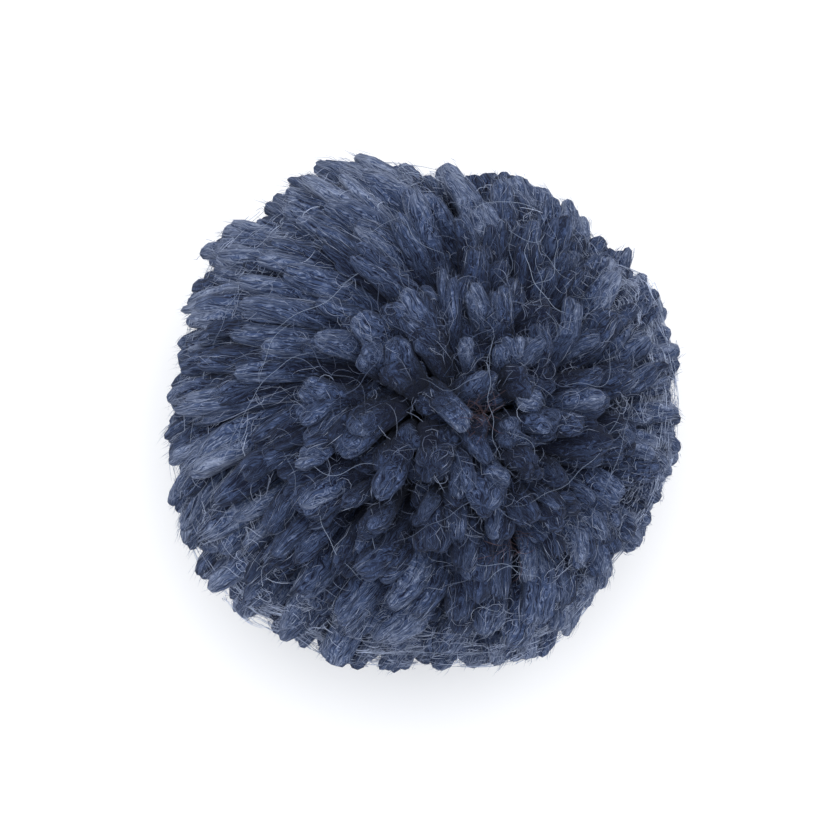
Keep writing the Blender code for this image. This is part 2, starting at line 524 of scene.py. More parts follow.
def on_ball(x, y, deep):
    """The point of the ball's upper side over x and y, given in millimetres, at a depth below its surface."""
    level = np.stack([x, y], -1) / 1000
    height = np.sqrt(np.maximum((CROWN_HEIGHT - deep) ** 2 - (level**2).sum(-1), 0))
    return np.concatenate([level, height[..., None]], -1)


tip_x, tip_y, base_x, base_y, breadth = np.array(TUFTS).T
tuft_radius = breadth / 2000
tuft_tips = on_ball(tip_x, tip_y, TIP_DEPTH)
tuft_bases = on_ball(base_x, base_y, BASE_DEPTH)
print(len(TUFTS), "tufts, up to", round(1000 * float(lengths(tuft_tips - tuft_bases).max()), 1), "mm long")

# %% [markdown]
# ## Room for the tufts, and the dark gaps
#
# A tuft only reads as one if the ends beneath it are out of its way, so every end whose tip comes near
# the line from a tuft's base to its tip is cut shorter. The ends at the parting are shorter as well,
# and a few deep gaps, where the shadow between the ends is darkest, are sunk one by one.

# %% Sink the ends beneath
TRAIL_SHARES = np.linspace(0.3, 1, 6)[:, None]  # where a tuft's line is tried, from base to tip
TUFT_MARGIN = 0.0016  # the room on each side of a tuft
TUFT_SINK = 0.0048  # how much shorter the ends beneath it are
PARTING_SINK = 0.0020
PARTING_WIDTH = 0.34  # how far the parting is felt, as a share of the radius
SOFT_EDGE = 0.4  # how far past that room an end still gives way, as a share of it
# Gaps: x, y, radius and how much shorter the ends in them are, in millimetres.
GAPS = (
    (-5.6, -1.6, 2.6, 6.0),
    (5.9, -10.8, 2.8, 6.0),
    (11.9, 5.8, 2.0, 4.5),
    (-19.7, 15.2, 3.0, 4.0),
    (14.4, 14.3, 2.4, 4.5),
)
GAP_SOFT_EDGE = 0.5

trails = tuft_bases[:, None] * (1 - TRAIL_SHARES) + tuft_tips[:, None] * TRAIL_SHARES
clearance = lengths(tips_at(tip_radius)[:, None, None] - trails)[..., 0].min(2)
beneath = smooth_step(1 + SOFT_EDGE - clearance / (tuft_radius + TUFT_MARGIN)).max(1)
tip_radius = tip_radius - TUFT_SINK * beneath
beside = lengths(unit(trimmed_tips) - parting(unit(trimmed_tips)))[:, 0]
tip_radius = tip_radius - PARTING_SINK * (1 - smooth_step(beside / PARTING_WIDTH))
x_of_tip, y_of_tip, z_of_tip = 1000 * tips_at(tip_radius).T
for x, y, radius, depth in GAPS:
    away = np.where(z_of_tip < 0, np.inf, np.hypot(x_of_tip - x, y_of_tip - y))
    tip_radius = tip_radius - depth / 1000 * smooth_step(1 + GAP_SOFT_EDGE - away / radius)
print((beneath > 0.5).sum(), "ends lie beneath the tufts, and", len(GAPS), "gaps are sunk")

# %% [markdown]
# ## Three handles for each end
#
# An end is one smooth curve, and a curve with three handles is enough for it: root, waist and tip. The
# ends that follow the rule take all three from the bend. The tufts take theirs from their table, with
# the waist pulled back past the base, so that a tuft rises from below and then lies over.

# %% Handles
ROOT_RADIUS = 0.0200  # where a modelled end starts, out of sight in the heart
WAIST_RADIUS = 0.0465  # how far from the heart a tuft's middle handle is
LEAN = 0.030  # how far each tip leans its own way, in radians about the heart
MOST_LEAN = 1.5  # the most of it, as a multiple
ROOT_PAST = 1.3  # how far past its base a tuft's root is, as a share of the way from tip to base
WAIST_PAST = 1.35


def past_base(share):
    return unit(tuft_tips + (tuft_bases - tuft_tips) * share)


leaning = unit(directions + np.clip(chance.normal(size=(ENDS, 3)), -MOST_LEAN, MOST_LEAN) * LEAN)
roots = bent(directions * ROOT_RADIUS)
tips = bent(leaning * tip_radius[:, None])
middles = bent(directions * ((ROOT_RADIUS + tip_radius) / 2)[:, None])
waists = 2 * middles - (roots + tips) / 2  # a curve with these handles passes through the middle
roots = np.concatenate([roots, HEART_CENTRE + past_base(ROOT_PAST) * ROOT_RADIUS])
waists = np.concatenate([waists, HEART_CENTRE + past_base(WAIST_PAST) * WAIST_RADIUS])
tips = np.concatenate([tips, HEART_CENTRE + tuft_tips])
COUNT = len(tips)
print(COUNT, "ends, with the tufts")

# %% [markdown]
# ## No two ends alike
#
# Each end gets its own thickness, its own flattening and a slow wiggle. It is made of three wisps of
# fibre that wind round each other and are cut at slightly different lengths, which is what gives a
# brushed end its soft, lobed tip. One rope with a round tip would look like a finger.

# %% Luck of the ends
FULLEST = (0.0020, 0.0031)  # the least and the greatest radius of an end
FLATNESS = (0.0, 0.35)  # how much wider than high the ends are
SPLAY = (0.6, 1.1)  # how far apart the wisps' tips stand
TWIST = 0.9  # how far the wisps wind round each other from root to tip, in radians
WIGGLE = 0.0011
WIGGLE_RATE = (3, 8)  # radians from root to tip
fullness = np.concatenate([chance.uniform(*FULLEST, ENDS), tuft_radius])
flatness = chance.uniform(*FLATNESS, COUNT)
splay = chance.uniform(*SPLAY, COUNT)
twist = chance.normal(0, TWIST, COUNT)
wiggle_turn = chance.uniform(0, 2 * math.pi, (COUNT, 1, 3))
wiggle_rate = chance.uniform(*WIGGLE_RATE, (COUNT, 1, 3))
print("ends are", round(2000 * float(fullness.mean()), 1), "mm thick on average")

# %% Luck of the wisps
WISPS = 3  # in each end
WISP_SHARE = 0.74  # a wisp's radius as a share of its end's
WISP_LUCK = (0.85, 1.15)  # how thick one wisp is beside the next
SEAT_SHARE = 0.37  # how far a wisp's middle is from its end's, as a share of the end's radius
SEAT_TURN = 0.3  # how unevenly the wisps sit round it, as a share of a wisp's place
SEAT_LUCK = (0.75, 1.2)
STAGGER = 0.009  # how unevenly the wisps are cut, as a share of their length
SHORTEST_CUT, LONGEST_CUT = 2 * STAGGER, 1.5 * STAGGER
SWAY = 0.00045  # how far a wisp leaves its place in the end
SWAY_RATE = (8, 16)  # radians from root to tip
end_of = np.repeat(np.arange(COUNT), WISPS)  # which end each wisp belongs to
wisp_count = len(end_of)
seat = np.tile(np.arange(WISPS), COUNT) + chance.uniform(-SEAT_TURN, SEAT_TURN, wisp_count)
seat = seat * 2 * math.pi / WISPS
seat_far = chance.uniform(*SEAT_LUCK, wisp_count) * SEAT_SHARE
cut = 1 + np.clip(chance.normal(0, STAGGER, wisp_count), -SHORTEST_CUT, LONGEST_CUT)
wisp_full = chance.uniform(*WISP_LUCK, wisp_count) * WISP_SHARE * fullness[end_of]
sway_turn = chance.uniform(0, 2 * math.pi, (wisp_count, 1, 3))
sway_rate = chance.uniform(*SWAY_RATE, (wisp_count, 1, 3))
print(wisp_count, "wisps")

# %% [markdown]
# ## The paths of the wisps
#
# The curve of an end is worked out at a few dozen places from its root to a little past its tip. Round
# it, each wisp sits at its own angle, which turns with the twist, and spreads from its neighbours
# towards the tip. These sampled paths carry everything that follows: wisps, fibres and hairs.

# %% Sampled paths
CURVE_STEPS = 28
FURTHEST = 1.12  # where the samples stop, past the cut
SPREAD_SHARES, SPREAD = (0, 0.45, 0.8), (0.55, 0.85, 1.0)  # how far apart the wisps are on the way out
SPLAY_FROM, SPLAY_OVER = 0.72, 0.30  # where their tips begin to part, and over what share
samples = np.linspace(0, FURTHEST, CURVE_STEPS)
out = samples[:, None]
end_curves = (
    (1 - out) ** 2 * roots[:, None]
    + 2 * out * (1 - out) * waists[:, None]
    + out**2 * tips[:, None]
    + np.sin(wiggle_turn + wiggle_rate * out) * WIGGLE * smooth_step(out)
)
_, end_across, end_over = frames_along(end_curves)
spread = np.interp(samples, SPREAD_SHARES, SPREAD)
spread = spread * (1 + (splay[end_of, None] - 1) * smooth_step((samples - SPLAY_FROM) / SPLAY_OVER))
wisp_angle = seat[:, None] + twist[end_of, None] * samples
aside = fullness[end_of, None] * seat_far[:, None] * spread
aside_across = aside * np.cos(wisp_angle) * (1 + flatness[end_of, None])
aside_over = aside * np.sin(wisp_angle) * (1 - flatness[end_of, None])
wisp_curves = (
    end_curves[end_of]
    + end_across[end_of] * aside_across[..., None]
    + end_over[end_of] * aside_over[..., None]
    + np.sin(sway_turn + sway_rate * out) * SWAY * smooth_step(out)
)
_, across, over = frames_along(wisp_curves)
print("sampled", wisp_curves.shape[0] * wisp_curves.shape[1], "places along the wisps")

# %% [markdown]
# ## Reading the paths
#
# Rings and fibres start and stop at shares of the way out, between the samples. This helper reads a
# sampled field at any share. It also applies the wisp's own cut, so that 1 is always the cut tip.

# %% Read along the wisps
LAST_SAMPLE = CURVE_STEPS - 1.001  # just before the last one, so that there is always a next


def along_wisps(field, which, share):
    """Reads a field that is sampled along every wisp, at shares of the way out along some of them."""
    at = np.clip(share * cut[which, None] / FURTHEST * (CURVE_STEPS - 1), 0, LAST_SAMPLE)
    step = at.astype(int)
    blend = (at - step)[..., None]
    row = which[:, None]
    return field[row, step] * (1 - blend) + field[row, step + 1] * blend


def path_at(which, share):
    """The places at one share of the way out along some wisps."""
    return along_wisps(wisp_curves, which, np.full((len(which), 1), share))[:, 0]


OUTER_SAMPLE = 20  # where along a wisp its outward side is taken
outward = unit(wisp_curves - HEART_CENTRE)
outer_angle = np.arctan2((outward * over).sum(-1), (outward * across).sum(-1))[:, OUTER_SAMPLE]
print("the first wisp ends at", [round(1000 * x, 1) for x in path_at(np.array([0]), 1.0)[0]], "mm")

# %% [markdown]
# ## How light the wool is
#
# Wool on the outside of the ball is lit pale; between the ends it sinks into shadow. Light
# alone would make this, but slowly, because it has to find its way between fibres that are thinner
# than a hair. So each wisp and fibre also gets painted shade and light in its tone. The ball's surface
# is cut into cells a few millimetres wide, the highest wool in each is noted, and whatever lies below it
# is painted darker. The cells are laid three times, a little shifted, so that their edges don't show.
# Near the rim, where the ends are most worn, the tone is also painted lighter, for the light that the
# sides catch.

# %% Open and buried wool
CELL = 0.004  # how wide a cell is
SHIFTS = (0.00, 0.03, 0.06)  # how far the cells are shifted, as a share of the radius
CELL_START, CELL_ROW = 40, 100  # the number of the middle cell, and of the cells in a row
OUTER_SAMPLES = slice(12, 26)  # the samples of a wisp that may be the highest wool
OPEN_DEPTH = 0.0004  # below the highest wool, how deep it is still open
BURIED_OVER = 0.0052  # and over how much more it is painted dark, as shade
RIM_FROM, RIM_OVER = 0.034, 0.016  # how far from the middle the wool begins to look worn, and to be painted lighter as rim light


def cell_of(places, shift):
    """The number of the cell of the ball's surface above each place."""
    three = np.floor((unit(places) + shift) * BALL_RADIUS / CELL).astype(int) + CELL_START
    return (three * np.array((1, CELL_ROW, CELL_ROW**2))).sum(-1)


outer = wisp_curves[:, OUTER_SAMPLES] - HEART_CENTRE
ceilings = []
for shift in SHIFTS:
    ceiling = np.zeros(CELL_ROW**3)
    np.maximum.at(ceiling, cell_of(outer, shift), lengths(outer)[..., 0])
    ceilings.append((shift, ceiling))


def openness(places):
    """From 1 for places on the outside of the pile to 0 for those deep in it: the mask of the painted shade.
    """
    places = places - HEART_CENTRE
    height = lengths(places)[..., 0]
    buried = sum(ceiling[cell_of(places, shift)] - height for shift, ceiling in ceilings) / len(ceilings)
    return 1 - smooth_step((buried - OPEN_DEPTH) / BURIED_OVER)


# One mask for the rim: the wear that sheds hairs there, and the painted rim light in the tones.
worn_and_rim_lit = smooth_step((lengths(tips[:, :2])[:, 0] - RIM_FROM) / RIM_OVER)
end_luck = chance.uniform(-1, 1, COUNT)


def pile_tone(which, places, deepest, opened, luck, wear_and_rim_light):
    """How light places on some wisps are: deepest in the pile, and what being open or worn at the rim adds,
    which is painted light.
    """
    end = end_of[which]
    return deepest + opened * openness(places) + luck * end_luck[end] + wear_and_rim_light * worn_and_rim_lit[end]


print("worn ends:", int((worn_and_rim_lit > 0.5).sum()), "of", COUNT)

# %% [markdown]
# ## The wisps
#
# A wisp is thin at its root, fuller towards the tip and rounded where it was cut, which a short table
# of rings gives. Shallow ridges, where strands of fibre run together, and a few lumps keep it from
# looking turned on a lathe. There are so many wisps that each has only four rings of eight corners.
# They are made as two pieces, to keep each mesh a moderate size.

# %% Make the wisps
# One row for each ring: how far out along the wisp it is, and its thickness as a share of the fullest.
PROFILE = (
    ("waist", 0.52, 0.86),
    ("shoulder", 0.86, 1.00),
    ("brow", 0.94, 0.86),
    ("crown", 0.972, 0.56),
)
WISP_START, WISP_END = 0.08, 0.985  # the middles of its two closed ends
WISP_SIDES = 8
RIDGES, LUMPS = 0.10, 0.07  # shares of the radius
TONE_SHARE = 0.88  # where along it a wisp's tone is taken
SHADES = (16, 4)  # columns and rows of cells
ring_shares = np.array([share for _, share, _ in PROFILE])
ring_radii = np.array([radius for _, _, radius in PROFILE])


def wisps(name, which):
    """A piece of wisps, given by their numbers."""
    count = len(which)
    path = along_wisps(wisp_curves, which, np.broadcast_to(ring_shares, (count, len(PROFILE))))
    ridges = 1 + chance.normal(0, RIDGES, (count, 1, WISP_SIDES))
    ridges = ridges + chance.normal(0, LUMPS, (count, len(PROFILE), WISP_SIDES))
    rings = rings_round(path, wisp_full[which, None, None] * ring_radii[:, None] * ridges, WISP_SIDES)
    # Painted shade deep in the pile, and painted light where a wisp is open or at the worn rim.
    tone = pile_tone(which, path_at(which, TONE_SHARE), deepest=0.05, opened=0.50, luck=0.13, wear_and_rim_light=0.32)
    start, end = path_at(which, WISP_START), path_at(which, WISP_END)
    piece = tubes(name, start, rings, end, ring_shares, tone, SHADES, fold=True)
    print(name, count, "wisps,", triangles_in(piece), "triangles")
    return piece


yarn = [
    wisps("wisps_1", np.arange(0, wisp_count, 2)),
    wisps("wisps_2", np.arange(1, wisp_count, 2)),
]

# %% [markdown]
# ## The heart
#
# Deep between the ends nothing shows but shadow. A lumpy body, painted dark as that shadow, stands there
# for the crowded roots, so that no light comes through the ball. An icosphere has no poles, so its lumps
# are even all round.

# %% Make the heart
CORE_RADIUS = 0.026
CORE_LUMP, CORE_PITCH, CORE_SEED = 0.05, 0.006, 11  # how deep as a share, how wide, and which lumps


def piece_of(name, shape):
    """An object that shows a bmesh, which is used up."""
    mesh = bpy.data.meshes.new(name)
    shape.to_mesh(mesh)
    shape.free()
    return in_scene(name, mesh)


heart = bmesh.new()
bmesh.ops.create_icosphere(heart, subdivisions=4, radius=CORE_RADIUS)
core = np.array([vert.co for vert in heart.verts])
core = core * (1 + CORE_LUMP * drift(core, CORE_PITCH, CORE_SEED)[:, :1])
for vert, place in zip(heart.verts, bent(core)):
    vert.co = place
heart_piece = piece_of("heart", heart)
heart_piece.data.shade_smooth()
print("heart:", triangles_in(heart_piece), "triangles")

# %% [markdown]
# ## Slivers on the wisps
#
# A fibre is a sliver with three sides that thins to a point both ways: the fewest faces that still
# catch light from every side. Most of an end is hidden, so more fibres go to the ends that show. A
# second short table says how thick the brush of fibres is along a wisp, also past its cut.

# %% Slivers
FIBRE_SHADES = (32, 8)
THINNING = 0.4  # lower for slivers that keep their width almost to the point
# How far out along a wisp, and how thick the brush of fibres is as a share of the fullest.
BRUSH = (
    (0.00, 0.50),
    (0.45, 0.84),
    (0.70, 1.00),
    (0.88, 1.04),
    (0.95, 0.96),
    (1.00, 0.76),
    (1.05, 0.45),
)
SHOWN_FROM, SHOWN_OVER = 0.0025, 0.05  # heights over which ends show more and more
FEWEST, MOST = 0.3, 1.6  # fibres, beside an end at the middle of those heights
showing = np.clip((tips[:, 2] - SHOWN_FROM) / SHOWN_OVER, FEWEST, MOST)[end_of]
crowding = np.cumsum(showing) / showing.sum()


def some_wisps(count):
    """Numbers of wisps, more of them where more of an end shows."""
    return np.searchsorted(crowding, chance.uniform(0, 1, count))


def on_wisps(which, share, angle, depth, lift):
    """Points round wisps: at an angle, at a share of the wisp's thickness, lifted off it by a length."""
    thick = np.interp(share, *np.array(BRUSH).T) * wisp_full[which, None]
    side, top = along_wisps(across, which, share), along_wisps(over, which, share)
    spoke = side * np.cos(angle)[..., None] + top * np.sin(angle)[..., None]
    return along_wisps(wisp_curves, which, share) + spoke * (thick * depth + lift)[..., None]


def slivers(name, path, half_width, tone):
    """A piece of slivers with three sides, one for each path, thin at both ends."""
    count, steps, _ = path.shape
    thin = np.sin(np.linspace(0, math.pi, steps))[1:-1] ** THINNING
    radii = np.pad(half_width[:, None] * thin, ((0, 0), (1, 1)))
    body = rings_round(path, np.repeat(radii[..., None], 3, 2), 3)[:, 1:-1]
    along = np.arange(1, steps - 1) / (steps - 1)
    piece = tubes(name, path[:, 0], body, path[:, -1], along, tone, FIBRE_SHADES, fold=False)
    print(name, count, "slivers,", triangles_in(piece), "triangles")
    return piece


print("the ends that show most get", round(float(showing.max() / showing.min())), "times as many fibres")

# %% [markdown]
# ## Fibres along the ends
#
# Each end is wrapped in fine fibres that run along it, lift off a little and end near its tip. Long
# ones run down its side, frizzy ones wind and waver, and short ones thatch it. The last kind frays out
# past the cut like the hairs of a brush. All of them are lighter near the tips, where light reaches,
# and a few are much lighter than the rest, as in real wool.

# %% The tone of a fibre
SHAFT_FROM, SHAFT_OVER = 0.58, 0.38  # where along an end its painted shade gives way to painted light, towards the tip
SHAFT_DARK, SHAFT_GAIN = -0.28, 0.36
PALE_LUCK, RIM_LIGHT_LUCK, DARK_LUCK = 0.28, 0.36, 0.28  # how much paler one is, more on worn ends at the rim, which is painted rim light, or darker


def fibre_tone(which, path, share):
    """How light fibres are that end at a share of the way out."""
    # Painted shade deep in the pile, and painted light where open and at the worn rim.
    tone = pile_tone(which, path[:, 1], deepest=0.01, opened=0.44, luck=0.09, wear_and_rim_light=0.50)
    tone = tone + SHAFT_GAIN * smooth_step((share - SHAFT_FROM) / SHAFT_OVER) + SHAFT_DARK
    tone = tone + chance.exponential(PALE_LUCK + RIM_LIGHT_LUCK * worn_and_rim_lit[end_of[which]])
    return tone - chance.uniform(0, DARK_LUCK, len(which))


print("at an end's tip its fibres are", round(SHAFT_GAIN + SHAFT_DARK, 2), "lighter than its tone")

# %% Fibres along the sides
# One row for each kind: name, count, points along a fibre, its least and greatest length as a share of
# the end, how far it winds round the end and wavers, in radians, how much lighter it is, half its width,
# and how far it lifts off.
NAPS = (
    ("nap_long", 5000, 5, 0.09, 0.22, 1.00, 0.34, 0.20, 0.000040, 0.00055),
    ("nap_frizz", 6000, 5, 0.05, 0.12, 1.40, 0.90, 0.16, 0.000034, 0.00045),
    ("nap_short", 14000, 3, 0.04, 0.11, 0.80, 0.25, -0.10, 0.000046, 0.00035),
)
EARLIEST, EARLINESS = 0.50, 1.5  # how far before the tip a fibre may end, and higher for fewer of them
FACING = 1.2  # how far they lie from the outward side, in radians
MOST_LIFT, ROOT_LIFT = 0.0008, 0.3  # the most that one lifts, and the share of it at its root
UNEVEN = 0.00012
WIDEST = 1.5  # the widest, which don't lift, as a multiple


def nap(name, count, steps, shortest, longest, wind, waver, glow, half_width, lift_far):
    """Fibres that lie along the sides of the ends: wide ones close to them, fine ones further off."""
    which = some_wisps(count)
    finish = 1 - EARLIEST * chance.uniform(0, 1, count) ** EARLINESS
    begin = finish - chance.uniform(shortest, longest, count)
    walk = np.linspace(0, 1, steps)
    share = begin[:, None] + (finish - begin)[:, None] * walk
    angle = outer_angle[which, None] + chance.normal(0, FACING, (count, 1))
    angle = angle + chance.normal(0, wind, (count, 1)) * walk + chance.normal(0, waver, (count, steps))
    fine = chance.uniform(0, 1, (count, 1))
    lift = fine * np.minimum(chance.exponential(lift_far, (count, 1)), MOST_LIFT) * (ROOT_LIFT + walk)
    path = on_wisps(which, share, angle, 1.0, lift + chance.normal(0, UNEVEN, (count, steps)))
    return slivers(name, path, half_width * (WIDEST - fine[:, 0]), fibre_tone(which, path, finish) + glow)


fibres = [nap(*row) for row in NAPS]

# %% Frayed tips
FRAY_FROM = (0.86, 0.95)  # where along a wisp the fibres of its tip leave it
FRAY_TO, FRAY_LUCK = 1.008, 0.009  # how far out they go on average, and how unevenly
ROUNDING = 0.03  # how much shorter they are round the edge of the cut
INNERMOST = 0.02
EDGE, CLOSING = 1.02, 1.3  # how thick the brush is where it starts, and how late it closes over the cut
FRAY_WAVER, FRAY_UNEVEN = 0.16, 0.00010
FRAY_HALF_WIDTH = (0.00003, 0.00007)
FRAY_SHADE = 0.06  # how much darker they are, as light falls in between them


def fray(name, count, steps):
    """Fibres that stick out past the cut tips, those in the middle furthest."""
    which = some_wisps(count)
    inner = np.sqrt(chance.uniform(INNERMOST, 1, (count, 1)))
    begin = chance.uniform(*FRAY_FROM, count)
    finish = FRAY_TO - ROUNDING * inner[:, 0] ** 4 + chance.normal(0, FRAY_LUCK, count)
    walk = np.linspace(0, 1, steps)
    share = begin[:, None] + (finish - begin)[:, None] * walk
    angle = chance.uniform(0, 2 * math.pi, (count, 1)) + chance.normal(0, FRAY_WAVER, (count, steps))
    lift = chance.normal(0, FRAY_UNEVEN, (count, steps))
    half_width = chance.uniform(*FRAY_HALF_WIDTH, count)
    path = on_wisps(which, share, angle, EDGE - (1 - inner) * walk**CLOSING, lift)
    return slivers(name, path, half_width, fibre_tone(which, path, finish) - FRAY_SHADE)


fibres.append(fray("fray", 14000, 3))

# %% [markdown]
# ## Loose hairs
#
# Three kinds of hair leave the yarn. The shortest stand off the tips as fuzz and blur the outline.
# Longer ones curl away from the ends that they belong to. The longest have worked free of the bundle
# and wander over the whole ball. All of them are strolls: a step forward, a small turn, and again, with
# the turns swinging from side to side. A stroll that leaves the ball is drawn gently back to it.

# %% Strolls
# One row for each kind: least and greatest length, points along a hair, how closely it hugs the ball,
# how hard it swings, in radians for each metre, and over what length, how hard it loops, and half its
# least and greatest width.
HAIRS = {
    "fuzz": (0.0005, 0.0015, 3, 0.5, 300, 0.006, 600, 0.000026, 0.000046),
    "curls": (0.0030, 0.0085, 8, 0.5, 450, 0.008, 620, 0.000028, 0.000048),
    "long": (0.010, 0.032, 24, 0.9, 260, 0.010, 90, 0.000034, 0.00005),
    "brown": (0.002, 0.006, 6, 0.4, 200, 0.012, 300, 0.00003, 0.00005),
}
PITCH_LUCK, SWING_LUCK = (0.6, 1.5), (0.4, 1.3)  # how unlike each other the hairs of a kind are


def strolls(kind, spot, heading):
    """The paths of some hairs of one kind, and half their widths."""
    shortest, longest, steps, hug, swing, pitch, loop, thin, thick = HAIRS[kind]
    column = (len(spot), 1)
    stride = chance.uniform(shortest, longest, column) / (steps - 1)
    phase = chance.uniform(0, 2 * math.pi, column)
    rate = 2 * math.pi / (pitch * chance.uniform(*PITCH_LUCK, column))
    loop = chance.normal(0, loop, column)
    swing = swing * chance.uniform(*SWING_LUCK, column)
    path = [spot]
    for i in range(steps - 1):
        up = unit(spot - HEART_CENTRE)
        heading = unit(heading - hug * (heading * up).sum(-1, keepdims=True) * up)
        turning = (loop + swing * np.sin(phase + rate * stride * i)) * stride
        heading = unit(heading + np.cross(up, heading) * turning)
        spot = spot + heading * stride
        path.append(spot)
    return np.stack(path, 1), chance.uniform(thin, thick, len(spot))


def held_close(path, nearest, furthest):
    """Brings strolls back to the ball: no nearer and no further than shares of its reach."""
    from_heart = path - HEART_CENTRE
    share = lengths(from_heart)[..., 0] / reach(unit(from_heart))
    middle, half = (nearest + furthest) / 2, (furthest - nearest) / 2
    held = middle + half * np.tanh((share - middle) / half)
    return HEART_CENTRE + from_heart * (held / share)[..., None]


print(len(HAIRS), "kinds of hair stroll over the ball")

# %% [markdown]
# ## Where the hairs start
#
# Handling rubs hairs out of the yarn, most of all where the ball is held. On this one that is its
# outline, and more on the right and the near side than elsewhere. So hairs start on worn ends far more
# often than on the others. They start near the tip and on the outward side, where they are seen.

# %% Roots of the hairs
WEAR_ANYWHERE, WEAR_RUBBED = 0.36, 0.9  # how many hairs leave any end, and a rubbed one
WEAR_RIGHT = WEAR_NEAR = 1.3  # how many more on the right, and on the near side
UNDERSIDE, UNDERSIDE_OVER = -0.030, 0.020  # the height above the heart from which hairs start
HAIR_FACING, HAIR_LIFT = 0.9, 0.0004  # radians from the outward side, and the most that a root lifts
ONWARD = 0.04  # how far along its end a hair's first direction is taken
worn_tips = tips[end_of] - HEART_CENTRE
worn_x, worn_y, _ = unit(worn_tips).T
wear = WEAR_ANYWHERE + worn_and_rim_lit[end_of] * np.maximum(WEAR_RUBBED + WEAR_RIGHT * worn_x - WEAR_NEAR * worn_y, 0)
wear = wear * smooth_step((worn_tips[:, 2] - UNDERSIDE) / UNDERSIDE_OVER)
wearing = np.cumsum(wear) / wear.sum()


def roots_of_hairs(count, earliest):
    """Places near the surface of the ends, the way on along each, the way out, and how worn they are, which
    also sets their painted rim light.
    """
    which = np.searchsorted(wearing, chance.uniform(0, 1, count))
    share = chance.uniform(earliest, 1, (count, 1))
    angle = outer_angle[which, None] + chance.normal(0, HAIR_FACING, (count, 1))
    lift = chance.uniform(0, HAIR_LIFT, (count, 1))
    place = on_wisps(which, share, angle, 1.0, lift)[:, 0]
    onward = unit(on_wisps(which, share + ONWARD, angle, 1.0, lift)[:, 0] - place)
    return place, onward, unit(place - HEART_CENTRE), worn_and_rim_lit[end_of[which]]


print("the most worn end sheds", round(float(wear.max() / wear.mean()), 1), "times the usual hairs")

# %% Fuzz, curls and long hairs
# One row for each kind: where along an end it starts at the earliest, how much it stands up from the
# end, and how far out it goes at most, as a share of the ball's reach. Then four pairs, of which the
# first is for an unworn end and the second is what a worn one adds: how near to the heart it goes, as a
# share too, how light it is, how uneven that is, and how thick it is beside its kind. The lightness that
# a worn end adds is painted rim light.
HALO = {
    "fuzz": (0.80, 0.4, 1.004, (0.80, 0), (0.10, 0.30), (0.15, 0), (1, 0.3)),
    "curls": (0.70, 0, 0.998, (0.82, 0.125), (0.19, 0.48), (0.15, 0.10), (1, 0.4)),
}
ANY_WAY = 0.8  # how little a hair keeps to its end's direction
LONG_HEIGHT = 0.985  # how high the long hairs start, as a share of the radius
LONG_REACH = (0.94, 1.0)  # how near to the heart and how far out they go
LONG_TONE = (0.1, 1)


def rooted_hairs(name, kind, count):
    """Hairs that start on the ends. On worn ends they lie higher and are thicker, and they are painted paler
    there as rim light.
    """
    earliest, upright, furthest, *pairs = HALO[kind]
    place, onward, up, wear_and_rim_light = roots_of_hairs(count, earliest)
    nearest, light, uneven, thick = (least + more * wear_and_rim_light for least, more in pairs)
    heading = onward * (1 - upright) + up * upright + chance.normal(size=(count, 3)) * ANY_WAY
    path, half_width = strolls(kind, place, unit(heading))
    path = held_close(path, nearest[:, None], furthest)
    return slivers(name, path, half_width * thick, chance.normal(light, uneven))


def long_hairs(name, count):
    """Hairs that have come free and lie over the ball."""
    up = unit(chance.normal(size=(count, 3)))
    heading = unit(np.cross(up, chance.normal(size=(count, 3))))
    path, half_width = strolls("long", HEART_CENTRE + up * BALL_RADIUS * LONG_HEIGHT, heading)
    return slivers(name, held_close(path, *LONG_REACH), half_width, chance.uniform(*LONG_TONE, count))


halo = [
    rooted_hairs("fuzz", "fuzz", 9000),
    rooted_hairs("curls_1", "curls", 4750),
    rooted_hairs("curls_2", "curls", 4750),
]
hairs = long_hairs("long_hairs", 200)

# %% [markdown]
# ## A pinch of brown
#
# Wool picks up stray fibres while it is spun and wound. Two small pinches of brown ones are caught
# between the tufts. They stroll as the other hairs do, and start close together.

# %% Brown hairs
# Name, the place as it is seen from above, in millimetres, and how many.
PINCHES = (
    ("brown_hairs_1", 9.0, 0.3, 40),
    ("brown_hairs_2", 14.4, -22.4, 25),
)
PINCH_DEPTH, PINCH_SPREAD = 0.0010, 0.0014


def pinch(name, x, y, count):
    """A few brown hairs that start close together."""
    middle = HEART_CENTRE + on_ball(np.array(x), np.array(y), PINCH_DEPTH)
    place = middle + chance.normal(size=(count, 3)) * PINCH_SPREAD
    path, half_width = strolls("brown", place, unit(chance.normal(size=(count, 3))))
    return slivers(name, path, half_width, chance.uniform(0, 1, count))


brown = [pinch(*row) for row in PINCHES]

# %% [markdown]
# ## A small language for shaders
#
# A wool material is a little sum: lines, grain and tone added up and turned into a colour. In the node
# editor that is a page of boxes. Here one class stands for a socket, and + - * on it add the nodes, so
# the sum reads as a sum.


# %% Wires
class Wire:
    """One socket of a material, on which + - * and abs add Math nodes."""

    def __init__(self, paint, socket):
        self.paint, self.socket = paint, socket

    def math(self, operation, *values):
        return self.paint.node("ShaderNodeMath", {"operation": operation}, values)

    def __add__(self, other):
        return self.math("ADD", self, other)

    def __sub__(self, other):
        return self.math("SUBTRACT", self, other)

    def __rsub__(self, other):
        return self.math("SUBTRACT", other, self)

    def __mul__(self, other):
        return self.math("MULTIPLY", self, other)

    def __abs__(self):
        return self.math("ABSOLUTE", self)

    def clamped(self):
        """The same value, held between 0 and 1."""
        return self.paint.node("ShaderNodeClamp", {}, [self])


print("wires know + - * and abs")

# %% [markdown]
# ## Paints
#
# A second class makes a material, and any other node by one method: its kind, its settings, and a value
# or a wire for each of its sockets.


